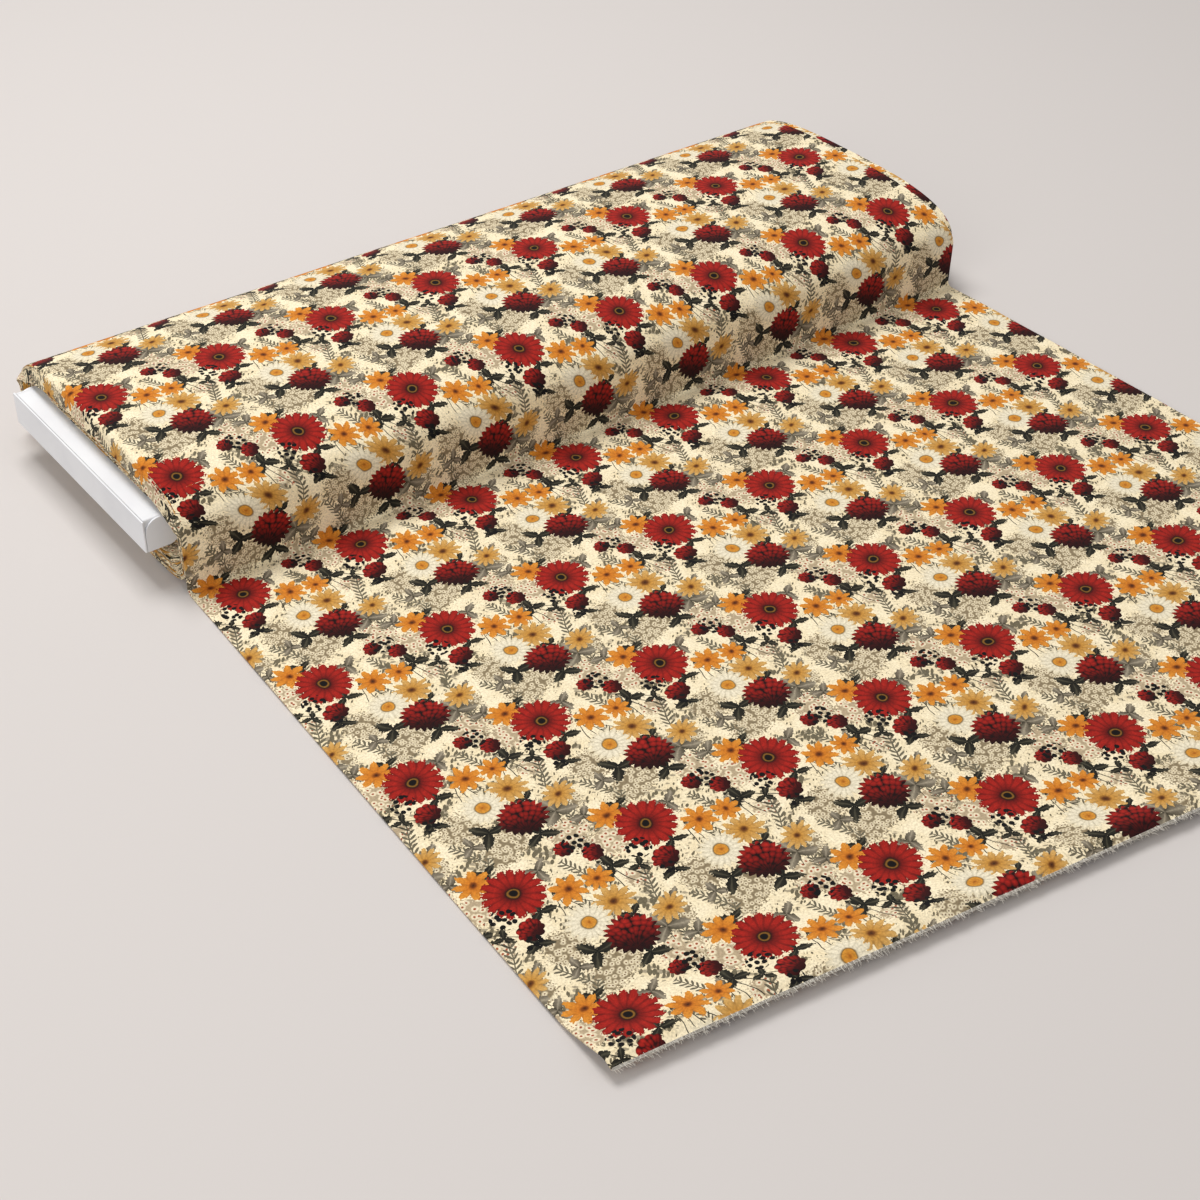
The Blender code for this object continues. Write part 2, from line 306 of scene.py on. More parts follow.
def litter(tree, ground, place, patches, size, turn, share, colour):
    """Small loose leaves all of one direction: stretched cells, each with one, where the patches allow."""
    rotation = (0.0, 0.0, math.radians(turn))
    slim = (size, size * 0.42, 1.0)
    turned = add(tree, "Mapping", place, (0.0, 0.0, 0.0), rotation, slim, vector_type="TEXTURE")
    cells = add(tree, "TexVoronoi", turned, Scale=1.0, Randomness=1.0, voronoi_dimensions="2D")
    lifted = add(tree, "Math", patches, -1.6, cells, operation="MULTIPLY_ADD")
    return paint(tree, ground, inside(tree, lifted, share), colour)


def sprigs(tree, ground, place, spots, colour):
    """Twigs with pairs of slanting leaflets: along the twig the leaflets repeat, and each is an ellipse."""
    local, _ = nearest(tree, place, spots)
    along = add(tree, "SeparateXYZ", local)
    away = add(tree, "Math", along.node.outputs[1], operation="ABSOLUTE")
    slanted = add(tree, "Math", away, -0.9, along, operation="MULTIPLY_ADD")
    saw = add(tree, "Math", slanted, 0.15, operation="PINGPONG")
    pair = add(tree, "CombineXYZ", saw, away, 0.0)
    middle = (0.0, 0.17, 0.0)
    scale = (0.085, 0.15, 1.0)
    leaflet = add(tree, "Mapping", pair, middle, (0.0, 0.0, 0.0), scale, vector_type="TEXTURE")
    reach = add(tree, "VectorMath", leaflet, operation="LENGTH")
    stem = add(tree, "Math", away, 28.0, operation="MULTIPLY")
    shape = add(tree, "Math", reach, stem, operation="MINIMUM")
    length = add(tree, "Math", along, operation="ABSOLUTE")
    whole = add(tree, "Math", shape, length, operation="MAXIMUM")
    return paint(tree, ground, inside(tree, whole), colour)


def stems(tree, ground, place, spots, count, sector, width, colour):
    """Thin stems that spread from one point within a sector, its middle and half width given in turns."""
    local, distance = nearest(tree, place, spots)
    angle = add(tree, "TexGradient", local, out=1, gradient_type="RADIAL")
    turns = add(tree, "Math", angle, float(count), operation="MULTIPLY")
    wave = add(tree, "Math", turns, 0.5, operation="PINGPONG")
    away = add(tree, "Math", wave, distance, operation="MULTIPLY")
    thin = add(tree, "Math", away, width, operation="LESS_THAN")
    within = add(tree, "Math", angle, sector[0], sector[1], operation="COMPARE")
    both = add(tree, "Math", thin, within, operation="MULTIPLY")
    mask = add(tree, "Math", both, inside(tree, distance), operation="MULTIPLY")
    return paint(tree, ground, mask, colour)


def beads(tree, ground, place, spots, size, share, colour):
    """Small round berries: one to each cell, inside round clusters."""
    _, distance = nearest(tree, place, spots)
    cells = add(tree, "TexVoronoi", place, Scale=1 / size, Randomness=0.6, voronoi_dimensions="2D")
    bead = inside(tree, cells, share)
    cluster = add(tree, "Math", bead, inside(tree, distance), operation="MULTIPLY")
    return paint(tree, ground, cluster, colour)


def floral_print(tree):
    """The colour of a small-scale floral print: cream ground, red, orange, ochre and white flowers, dark
    and grey leaves, and heads of speckled florets, all in one repeat.

    A spot is (share of the repeat across, share along, size in mm, turn in degrees, stretch across).
    """
    uv = add(tree, "UVMap", uv_map="print")
    flat = add(tree, "VectorMath", uv, (-1000.0, 1000.0, 0.0), operation="MULTIPLY")
    shifted = add(tree, "VectorMath", flat, (*PRINT_SHIFT, 0.0), operation="SUBTRACT")
    wobble = add(tree, "TexNoise", shifted, out=1, Scale=0.09, Detail=1.0, noise_dimensions="2D")
    centred = add(tree, "VectorMath", wobble, (0.5, 0.5, 0.5), operation="SUBTRACT")
    drift = add(tree, "VectorMath", centred, (2.4, 2.4, 0.0), operation="MULTIPLY")
    place = add(tree, "VectorMath", shifted, drift, operation="ADD")
    brush = add(tree, "TexNoise", shifted, Scale=0.7, Detail=2.0, noise_dimensions="2D")
    mottle = add(tree, "TexNoise", shifted, Scale=0.06, Detail=2.0, noise_dimensions="2D")
    ground = [(0.35, linear("#F8E9C6")), (0.65, linear("#EEDCB4"))]
    colour = add(tree, "ValToRGB", mottle, stops=ground)
    colour = litter(tree, colour, place, mottle, 7.5, 35, -0.72, linear("#A79A80"))
    colour = litter(tree, colour, place, mottle, 6.5, -50, -0.69, linear("#6F6650"))

    beige = [
        (0.0, linear("#5A4430")), (0.13, linear("#8F7452")), (0.19, linear("#EADDBF")),
        (0.38, linear("#D9CAA6")), (0.5, linear("#A8977A")), (0.6, linear("#8B7B5F")),
    ]
    heads = [
        (-0.02, 0.46, 17, 0, 1), (-0.10, 0.73, 14, 0, 1.3), (-0.22, -0.31, 14, 0, 1.2),
        (0.42, -0.12, 12, 0, 1), (0.30, 0.62, 12, 0, 1.1),
    ]
    colour = florets(tree, colour, place, heads, 3.4, beige, brush)
    rosy = [
        (0.0, linear("#8E3B26")), (0.15, linear("#B06A48")), (0.22, linear("#F0E3C6")),
        (0.42, linear("#E2D2AE")), (0.52, linear("#B7A384")),
    ]
    heads = [(-0.57, 0.80, 15, 0, 1.1), (0.26, -0.01, 14, 0, 1), (0.30, 0.28, 9, 0, 1.2)]
    colour = florets(tree, colour, place, heads, 4.6, rosy, brush)

    twigs = [
        (-0.42, 0.05, 14, 70, 1), (-0.72, 0.36, 16, 110, 1), (0.06, 0.62, 14, 60, 1),
        (0.34, -0.30, 13, 100, 1), (-0.30, 0.25, 12, 80, 1), (0.02, 0.80, 13, 120, 1),
    ]
    colour = sprigs(tree, colour, place, twigs, linear("#6A6350"))
    dark = linear("#2C2A20")
    sprays = [(-0.20, 0.10, 38, -20, 1), (-0.56, 0.06, 42, -20, 1), (-0.62, 0.52, 30, 10, 1)]
    colour = stems(tree, colour, place, sprays, 24, (0.26, 0.11), 0.035, dark)

    greys = [
        (0.0, linear("#A0957F")), (0.08, linear("#7B7160")), (0.3, linear("#5D5545")),
        (0.5, linear("#3B362A")),
    ]
    leaves = [
        (-0.60, 0.64, 17, 20, 1.1), (-0.72, 0.76, 12, 70, 1), (-0.22, -0.06, 13, 200, 1),
        (0.24, 0.50, 10, 80, 1), (0.45, 0.15, 10, 30, 1), (0.0, 0.60, 11, 150, 1),
    ]
    colour = leaf_group(tree, colour, place, leaves, (3, 0.8, 0.9), greys, brush)
    darks = [(0.0, linear("#4A4637")), (0.07, linear("#26241B")), (0.5, linear("#0E0E0A"))]
    leaves = [
        (-0.41, 0.73, 16, 270, 1), (-0.15, 0.57, 16, 0, 1.2), (0.10, 0.35, 11, 30, 1.3),
        (-0.62, 0.14, 14, 140, 1.2), (-0.05, 0.18, 15, 260, 0.8), (0.06, -0.20, 12, 100, 1),
        (0.24, 0.22, 10, 60, 1), (-0.50, 0.47, 11, 200, 1),
    ]
    colour = leaf_group(tree, colour, place, leaves, (3, 0.85, 0.8), darks, brush)

    ochre = [
        (0.0, linear("#3A1D0A")), (0.13, linear("#6E3E16")), (0.28, linear("#C78F3E")),
        (1.0, linear("#DDB26A")),
    ]
    spots = [(-0.46, 0.345, 15.5, 10, 1.1), (-0.70, 0.545, 15, 60, 0.8)]
    colour = flower(tree, colour, place, spots, (11, 0.4, 1.6), ochre, (0.8, linear("#7A4C18")), brush)
    orange = [
        (0.0, linear("#2E170A")), (0.13, linear("#7C3D10")), (0.26, linear("#D07A22")),
        (1.0, linear("#E59A38")),
    ]
    spots = [(-0.485, 0.165, 12, 0, 1), (-0.29, 0.145, 14.5, 40, 1), (0.16, -0.17, 14, 20, 1.1)]
    colour = flower(tree, colour, place, spots, (8, 0.45, 1.5), orange, (0.8, linear("#8A430A")), brush)

    white = [
        (0.0, linear("#9C5411")), (0.1, linear("#C9812A")), (0.27, linear("#D89434")),
        (0.31, linear("#7D5F2E")), (0.38, linear("#E9DEC2")), (0.6, linear("#F4E9CD")),
        (1.0, linear("#EADCBA")),
    ]
    spots = [(-0.24, 0.388, 18, 0, 1)]
    colour = flower(tree, colour, place, spots, (17, 0.28, 1.6), white, (0.55, linear("#7C6C48")), brush)

    red = [
        (0.0, linear("#070404")), (0.12, linear("#0C0605")), (0.16, linear("#8F6424")),
        (0.21, linear("#240806")), (0.3, linear("#6E110C")), (0.6, linear("#AC2117")),
        (1.0, linear("#A01B12")),
    ]
    spots = [(0.0, 0.0, 23.5, 0, 1)]
    colour = flower(tree, colour, place, spots, (17, 0.18, 3.0), red, (0.85, linear("#230303")), brush)
    dome = [
        (0.0, linear("#0C0202")), (0.3, linear("#420807")), (0.55, linear("#8C160F")),
        (0.9, linear("#B4241A")),
    ]
    spots = [(-0.40, 0.575, 18.5, 20, 1.1)]
    colour = dome_flower(tree, colour, place, spots, (21, 0.2, 1.3), dome, (3.6, linear("#1A0303")))
    spots = [(0.075, 0.255, 10, -27, 1.15), (-0.59, 0.0, 8.5, -60, 1), (-0.455, -0.105, 7.5, -27, 1)]
    colour = dome_flower(tree, colour, place, spots, (9, 0.15, 2.0), dome, (2.2, linear("#300505")))

    clusters = [(0.16, 0.115, 10, 0, 1), (-0.54, -0.10, 10, 0, 1), (0.11, 0.335, 7, 0, 1)]
    colour = beads(tree, colour, place, clusters, 4.4, 0.38, linear("#0B0A0B"))

    lift = add(tree, "MapRange", brush, 0.3, 0.7, 0.82, 1.12)
    return add(tree, "VectorMath", colour, Scale=lift, operation="SCALE")


# ---------------------------------------------------------------- materials


def weave_height(tree):
    """Plain weave: over and under threads as a product of two waves. They are drawn at WEAVE, because the
    real spacing is too fine to show. A wave texture repeats every pi / 10 at a scale of 1."""
    uv = add(tree, "UVMap", uv_map="print")
    scale = math.pi / 10 / WEAVE
    warp = add(tree, "TexWave", uv, Scale=scale, out=1, bands_direction="X")
    weft = add(tree, "TexWave", uv, Scale=scale, out=1, bands_direction="Y")
    cross = add(tree, "Math", warp, weft, operation="MULTIPLY")
    slub = add(tree, "TexNoise", uv, Scale=600.0, Detail=2.0, noise_dimensions="2D")
    return add(tree, "Math", slub, 0.8, cross, operation="MULTIPLY_ADD")


def printed_cotton():
    """Quilting cotton, plain-woven and printed on one side: matte, with a faint sheen of loose fibre."""
    made, tree, shader = new_material("printed_quilting_cotton")
    colour = floral_print(tree)
    tree.links.new(colour, shader.inputs["Base Color"])
    bump = add(tree, "Bump", 0.25, BUMP_DEPTH, 1.0, weave_height(tree))
    tree.links.new(bump, shader.inputs["Normal"])
    shader.inputs["Roughness"].default_value = 0.88
    shader.inputs["Specular IOR Level"].default_value = 0.2
    shader.inputs["Sheen Weight"].default_value = 0.03
    shader.inputs["Sheen Roughness"].default_value = 0.5
    return made


def plain_cotton():
    """The unprinted wrong side and the raw edges: off-white, with the print just showing as a tint."""
    made, tree, shader = new_material("cotton_wrong_side")
    uv = add(tree, "UVMap", uv_map="print")
    patches = add(tree, "TexNoise", uv, Scale=45.0, Detail=3.0, noise_dimensions="2D")
    tints = [(0.35, linear("#EFEBE2")), (0.7, linear("#DDD5C6"))]
    tint = add(tree, "ValToRGB", patches, stops=tints)
    tree.links.new(tint, shader.inputs["Base Color"])
    bump = add(tree, "Bump", 0.25, BUMP_DEPTH, 1.0, weave_height(tree))
    tree.links.new(bump, shader.inputs["Normal"])
    shader.inputs["Roughness"].default_value = 0.92
    return made


def white_card():
    """White-lined board: calendered paper with a soft gloss, faint clouding and fibre."""
    made, tree, shader = new_material("white_lined_board")
    place = add(tree, "TexCoord", out=3)
    cloud = add(tree, "TexNoise", place, Scale=25.0, Detail=4.0)
    tone = add(tree, "ValToRGB", cloud, stops=[(0.3, linear("#E4E5E8")), (0.7, linear("#ECEDEF"))])
    tree.links.new(tone, shader.inputs["Base Color"])
    fibre = add(tree, "TexNoise", place, Scale=1500.0, Detail=3.0)
    bump = add(tree, "Bump", 0.12, BUMP_DEPTH, 1.0, fibre)
    tree.links.new(bump, shader.inputs["Normal"])
    shader.inputs["Roughness"].default_value = 0.55
    return made


def brown_card():
    """Raw grey-brown board: recycled fibre with light and dark flecks."""
    made, tree, shader = new_material("raw_brown_board")
    place = add(tree, "TexCoord", out=3)
    fleck = add(tree, "TexNoise", place, Scale=900.0, Detail=4.0)
    tone = add(tree, "ValToRGB", fleck, stops=[(0.3, linear("#8A6A4A")), (0.7, linear("#B08F69"))])
    tree.links.new(tone, shader.inputs["Base Color"])
    bump = add(tree, "Bump", 0.2, BUMP_DEPTH, 1.0, fleck)
    tree.links.new(bump, shader.inputs["Normal"])
    shader.inputs["Roughness"].default_value = 0.85
    return made


# ---------------------------------------------------------------- cloth


def section(inset, angles):
    """Points (y, z) of a turn that lies this far in from the bolt's outside.

    It is a superellipse in polar form, r = (|cos|^p + |sin|^p)^(-1/p), stretched to the turn's own half
    depth and to its own height above and below the widest level. The corners' fill, 2^(-1/p), goes evenly
    from the round outside to the square board. Angle 0 is the front, and the angles run over the top.
    """
    share = inset / WINDING
    above = np.sin(angles) >= 0
    middle = WIDEST + share * (BOARD_MIDDLE_Z - WIDEST)
    reach = np.where(above, HEIGHT - inset - middle, middle - inset)
    outer_fill = np.where(above, OUTER_FILL_ABOVE, OUTER_FILL_BELOW)
    power = -1 / np.log2(outer_fill + share * (INNER_FILL - outer_fill))
    cosine, sine = np.cos(angles), np.sin(angles)
    radius = (np.abs(cosine) ** power + np.abs(sine) ** power) ** (-1 / power)
    y = MIDDLE_Y - (HALF_DEPTH - inset) * radius * cosine
    z = middle + reach * radius * sine
    return np.stack([y, z], axis=-1)


def columns(under, fold, upper):
    """The columns of a doubled sheet, from the under leaf's selvedge round the fold to the upper leaf's.

    They are two rows of numbers: the share of the width from the fold, and the angle round the fold, which
    goes from pi on the under leaf to 0 on the upper one.
    """
    shares = np.concatenate([under[::-1], np.zeros(fold), upper])
    round_fold = np.linspace(math.pi, 0, fold + 2)[1:-1]
    angles = np.concatenate([np.full(len(under), math.pi), round_fold, np.zeros(len(upper))])
    return shares, angles


def doubled_sheet(outline, depth, left, right, column_set):
    """The outer and inner surface of a doubled sheet as grids of points.

    outline is the upper leaf's outer line (y, z), one row of points for each row of the sheet, and depth
    goes from it to the under leaf's outer line. Across, the sheet runs from left to right, and a half
    circle joins the leaves at the fold: x = left + r - r sin(a) and the depth share is (1 - cos(a)) / 2.
    """
    shares, angles = column_set
    thick = np.linalg.norm(depth, axis=-1)
    radius = thick / 2
    grids = []
    for wall in (0.0, LEAF):
        bend = (radius - wall) * np.sin(angles)
        x = left[:, None] + radius - bend + shares * (right - left)[:, None] * (1 - radius / WIDTH)
        share = 0.5 - (0.5 - wall / thick) * np.cos(angles)
        y = outline[..., 0] + share * depth[..., 0]
        z = outline[..., 1] + share * depth[..., 1]
        grids.append(np.stack([x, y, z], axis=-1))
    return grids


def along_rows(points):
    """The distance along a row of points."""
    steps = np.linalg.norm(np.diff(points, axis=0), axis=-1)
    return np.concatenate([[0.0], np.cumsum(steps)])


def shell(name, outer, inner, print_uv, bake_uv, materials):
    """A closed thin shell between two grids of points: its right side, its wrong side and a rim. The faces
    are turned round where the outer grid's would look at the inner grid."""
    rows, cols = outer.shape[:2]
    count = rows * cols
    index = np.arange(count).reshape(rows, cols)
    quads = np.stack([index[:-1, :-1], index[:-1, 1:], index[1:, 1:], index[1:, :-1]], -1).reshape(-1, 4)
    border = np.concatenate([index[0, :-1], index[:-1, -1], index[-1, :0:-1], index[:0:-1, 0]])
    ahead = np.roll(border, -1)
    rim = np.stack([ahead, border, border + count, ahead + count], -1)
    middle = quads[len(quads) // 2 + cols // 3]
    flat = outer.reshape(-1, 3)
    facing = np.cross(flat[middle[1]] - flat[middle[0]], flat[middle[3]] - flat[middle[0]])
    if facing @ (flat[middle[0]] - inner.reshape(-1, 3)[middle[0]]) < 0:
        quads, rim = quads[:, ::-1], rim[:, ::-1]
    faces = np.concatenate([quads, quads[:, ::-1] + count, rim])
    points = np.concatenate([flat, inner.reshape(-1, 3)]) + ORIGIN
    mesh = bpy.data.meshes.new(name)
    mesh.from_pydata(points.tolist(), [], faces.tolist())
    corner = faces.ravel()
    rim_corners = np.arange(len(corner)) >= 8 * len(quads)  # both sides' quads come first
    for layer, values in (("print", np.concatenate([print_uv, print_uv])), ("OFBake", bake_uv)):
        from_inner = rim_corners & (corner < count) & (layer == "OFBake")
        chosen = values[np.where(from_inner, corner + count, corner)]
        made = mesh.uv_layers.new(name=layer)
        made.data.foreach_set("uv", chosen.astype(np.float32).ravel())
    for made in materials:
        mesh.materials.append(made)
    side = np.ones(len(faces), np.int32)
    side[: len(quads)] = 0
    mesh.polygons.foreach_set("material_index", side)
    mesh.shade_smooth()
    mesh.set_sharp_from_angle(angle=math.radians(55))
    mesh.update()
    piece = bpy.data.objects.new(name, mesh)
    bpy.context.scene.collection.objects.link(piece)
    return piece


def cloth_piece(name, grids, distance, column_set, sides):
    """A doubled sheet with its two maps: the print in metres, and a layout that favours the right side."""
    outer, inner = grids
    shares, angles = column_set
    signed = np.where(angles > math.pi / 2, -1, 1) * shares
    across = signed * WIDTH + (math.pi / 2 - angles) / math.pi * FOLD_PRINT
    print_uv = np.stack([np.broadcast_to(across, distance.shape), distance], -1).reshape(-1, 2)
    steps = np.where(signed < 0, UNDER_MAP * (1 + signed), UNDER_MAP) + FOLD_MAP * (1 - angles / math.pi)
    steps = steps + np.where(signed > 0, UPPER_MAP * signed, 0.0)
    rows = (distance - distance.min()) / (distance.max() - distance.min())
    rows = MAP_MARGIN + (1 - 2 * MAP_MARGIN) * rows
    right_side = np.stack([np.broadcast_to(MAP_LEFT + steps, rows.shape), rows], -1)
    wrong_side = WRONG_SIDE_START + WRONG_SIDE_SCALE * steps
    wrong_side = np.stack([np.broadcast_to(wrong_side, rows.shape), rows], -1)
    bake_uv = np.concatenate([right_side.reshape(-1, 2), wrong_side.reshape(-1, 2)])
    return shell(name, outer, inner, print_uv, bake_uv, sides)


def ripple(x, v, seed, waves, shortest, longest):
    """A soft random surface from 0 to 1: a sum of sine waves of random direction, length and phase."""
    rng = np.random.default_rng(seed)
    total = np.zeros(np.broadcast(x, v).shape)
    for _ in range(waves):
        length = rng.uniform(shortest, longest)
        turn = rng.uniform(0, math.pi)
        phase = rng.uniform(0, 2 * math.pi)
        total += np.sin(2 * math.pi / length * (x * math.cos(turn) + v * math.sin(turn)) + phase)
    return 0.5 + total / (2 * waves)


def smooth(low, high, value):
    """0 below low, 1 above high, and a smooth step between."""
    share = np.clip((value - low) / (high - low), 0, 1)
    return share * share * (3 - 2 * share)


def slipped(angles):
    """How far each place round the bolt has slipped, from 0 to 1: all of it over the top, none below."""
    turn = np.mod(angles, 2 * math.pi)
    return smooth(0.15, 0.75, turn) * (1 - smooth(2.5, 3.1, turn))


def lip(grids, inward, shift):
    """Bends the folded edge over the layers' ends where the turn has slipped. A point that lies s beyond
    the bend's start goes R sin(s / R) on and R (1 - cos(s / R)) inward, and straight on after LIP_ANGLE."""
    out_of_reach = np.where(shift == 0, -1.0, 0.0)[:, None]
    for grid in grids:
        start = LIP_START * smooth(0.0, LIP_SLIP, shift)[:, None] + out_of_reach
        beyond = np.maximum(0, start - grid[..., 0])
        turned = np.minimum(beyond / LIP_RADIUS, LIP_ANGLE)
        straight = beyond - LIP_RADIUS * turned
        on = LIP_RADIUS * np.sin(turned) + straight * math.cos(LIP_ANGLE)
        down = LIP_RADIUS * (1 - np.cos(turned)) + straight * math.sin(LIP_ANGLE)
        depth = np.sum((grid[..., 1:] - grids[0][:, -1:, 1:]) * inward[:, None], -1)
        grid[..., 0] += beyond - on + depth * np.sin(turned) * (beyond > 0)
        grid[..., 1:] += inward[:, None] * (down - depth * (1 - np.cos(turned)))[..., None]


def laid_cloth(sides):
    """The drawn-off length, the crease and the bolt's front wall up to its widest level.

    The rows run from the cut edge to the crease on the table, round a concave quarter circle, and up the
    wall. Ahead of FAN_START the rows fan out to the slanting cut edge, closer together near it. The cloth
    is lifted near the cut by CUT_LIFT exp(-(d / CUT_REACH)^1.4), d from the edge, less a narrower drop of
    the same form at its rim, and it has a soft swell and a few buckles ahead of the crease.
    """
    column_set = columns(np.linspace(0.002, 1, 24) ** 1.3, 9, np.linspace(0, 1, 190)[1:])
    shares, angles = column_set
    fan = 1 - np.linspace(0, 1, 130) ** 1.5
    close = np.linspace(FAN_START, CREASE_RADIUS, 24)[1:]
    bend = np.linspace(0, math.pi / 2, 16)[1:]
    wall_angles = np.radians(np.linspace(FIRST_ANGLE, 0, 9))
    wall_start = section(0.0, wall_angles[:1])[0]
    foot = LAID_THICK + CREASE_RADIUS
    front = wall_start[0]
    rise = np.linspace(foot, wall_start[1], 7)[1:-1]
    centre = np.array([front - CREASE_RADIUS, foot])
    arc = centre + CREASE_RADIUS * np.stack([np.sin(bend), -np.cos(bend)], -1)
    wall = np.stack([np.full(len(rise), front), rise], -1)
    flat = np.stack([front - close, np.full(len(close), LAID_THICK)], -1)
    fixed = np.concatenate([flat, arc, wall, section(0.0, wall_angles)])
    away = np.concatenate([
        np.tile([0.0, -1.0], (len(flat), 1)),
        np.stack([np.sin(bend), -np.cos(bend)], -1),
        np.tile([1.0, 0.0], (len(wall) + len(wall_angles), 1)),
    ])
    run = along_rows(fixed)
    thinned = smooth(FAN_START - WALL_BLEND, FAN_START + WALL_BLEND, run)
    thick = LAID_THICK + (WOUND_THICK - LAID_THICK) * thinned
    length = LEFT_LENGTH + shares * (RIGHT_LENGTH - LEFT_LENGTH)
    ahead = front - FAN_START - fan[:-1, None] * (length - FAN_START)
    y = np.concatenate([ahead, np.broadcast_to(front - FAN_START, (1, len(shares)))])
    outline = np.stack([y, np.full(y.shape, LAID_THICK)], -1)
    outline = np.concatenate([outline, np.broadcast_to(fixed[:, None], (len(fixed), len(shares), 2))])
    depth = np.concatenate([
        np.broadcast_to([0.0, -LAID_THICK], (*y.shape, 2)),
        np.broadcast_to((away * thick[:, None])[:, None], (len(fixed), len(shares), 2)),
    ])
    ahead_of_crease = np.maximum(0, -y.mean(axis=1))
    opened = np.concatenate([ahead_of_crease, np.maximum(0, -fixed[:, 0])])
    left = FLARE_X * np.minimum(1, opened / LEFT_LENGTH)
    right = WIDTH + (SELVEDGE_X - WIDTH) * np.minimum(1, opened / RIGHT_LENGTH)
    grids = doubled_sheet(outline, depth, left, right, column_set)
    v = np.concatenate([y - front, run[:, None] - FAN_START + np.zeros(len(shares))])
    x = grids[0][..., 0]
    flat_length = length - FAN_START
    from_cut = np.concatenate([flat_length * (1 - fan[:, None]), flat_length + run[:, None]])
    drop = RIM_DROP * np.exp(-((from_cut / RIM_REACH) ** 1.6))
    curl = np.exp(-((from_cut / CUT_REACH) ** 1.4)) - drop
    curl *= CUT_LIFT + CUT_LIFT_SPREAD * ripple(x, 0 * v, seed=5, waves=4, shortest=0.12, longest=0.5)
    swell = SWELL * ripple(x, v, seed=11, waves=7, shortest=0.07, longest=0.26) ** 1.5
    swell *= smooth(0.0, 0.05, -v)
    lifted = curl + swell
    for height, across, slant, wide, before, long in BUCKLES:
        sideways = (x - across + slant * (v + 0.02)) / wide
        lifted += height * np.exp(-(sideways**2) - ((v + before) / long) ** 2)
    lifted *= 1 - smooth(-0.03, 0.0, v)
    lifted += CUT_GAP * np.exp(-((from_cut / CUT_GAP_REACH) ** 1.4)) * (1 + np.cos(angles)) / 2
    for grid in grids:
        grid[..., 2] += lifted
    return cloth_piece("laid_cloth", grids, v, column_set, sides), grids, v, column_set


def outer_turn_cloth(sides, start_v):
    """The last turn, all the way round the bolt, going in by one pitch. A soft random slack of up to SLACK
    dips it inward. Its folded edge has slipped to the left over the top, where it forms a lip."""
    near = np.linspace(0.0012, 0.030, 22)
    under = np.concatenate([near, np.linspace(0.05, 1, 34)])
    column_set = columns(under, 7, np.concatenate([near, np.linspace(0.036, 1, 120)]))
    angles = np.radians(np.arange(0, LAST_ANGLE, 1.8))
    inset = PITCH * angles / (2 * math.pi)
    outline = section(inset, angles)
    depth = section(inset + WOUND_THICK, angles) - outline
    run = start_v + along_rows(outline)
    shares = column_set[0]
    x = shares * WIDTH
    between = smooth(0.0, 0.25, angles) * smooth(0.0, 0.6, np.radians(345) - angles)
    slack = SLACK * ripple(x, run[:, None], seed=23, waves=6, shortest=0.09, longest=0.35)
    slack *= between[:, None]
    inward = depth / np.linalg.norm(depth, axis=-1)[:, None]
    outline = outline[:, None] + inward[:, None] * slack[..., None]
    depth = np.broadcast_to(depth[:, None], outline.shape)
    edge = WANDER * np.sin(3 * angles + 1) * np.sin(angles)
    shift = LIP_SLIP * slipped(angles)
    left = np.abs(edge) * (1 - slipped(angles)) - shift
    right = WIDTH + edge - SELVEDGE_FOLLOWS * shift
    grids = doubled_sheet(outline, depth, left, right, column_set)
    lip(grids, inward, shift)
    v = np.broadcast_to(run[:, None], (len(run), len(shares)))
    return cloth_piece("outer_turn_cloth", grids, v, column_set, sides), run[-1]


def wound_cloth(sides, start_v):
    """The inner turns: one spiral strip of doubled cloth, pulled back at the left end round the tabs."""
    shares = np.array([0.004, 0.016, 0.5, 0.985, 1.0])
    column_set = columns(shares, 5, shares)
    turns = int((WINDING - WOUND_THICK) / PITCH)
    angles = np.radians(np.arange(WOUND_ANGLE, 360 * turns, 4.5))
    inset = PITCH * angles / (2 * math.pi)
    outline = section(inset, angles)
    depth = section(inset + WOUND_THICK, angles) - outline
    run = start_v + along_rows(outline)
    y, z = outline.T
    gap = np.minimum(np.abs(y - (WRAP_LOW[1] - ORIGIN[1])), np.abs(y - (WRAP_HIGH[1] - ORIGIN[1])))
    beside = np.sqrt(np.maximum(0, TAB_REACH**2 - gap**2)) + HINGE_X
    level = smooth(*TAB_LEVELS[:2], z) * (1 - smooth(*TAB_LEVELS[2:], z))
    rng = np.random.default_rng(31)
    waver = np.interp(angles, angles[::20], rng.uniform(0, FOLDS_UNEVEN, len(angles[::20])))
    under_lip = np.clip((inset - WOUND_THICK) / LIP_RADIUS, 0, 1)
    recess = LIP_START - LIP_RADIUS * np.sqrt(1 - (1 - under_lip) ** 2)
    left = np.maximum(np.maximum(0, beside) * level, recess * slipped(angles)) + waver
    drift = TELESCOPE * smooth(0.0, WINDING, inset)
    uneven = rng.uniform(0, SELVEDGES_UNEVEN, len(angles[::17]))
    right = WIDTH + drift - np.interp(angles, angles[::17], uneven)
    outline = np.broadcast_to(outline[:, None], (len(run), len(column_set[0]), 2))
    depth = np.broadcast_to(depth[:, None], outline.shape)
    grids = doubled_sheet(outline, depth, left, right, column_set)
    v = np.broadcast_to(run[:, None], (len(run), len(column_set[0])))
    return cloth_piece("wound_cloth", grids, v, column_set, sides), run[-1]


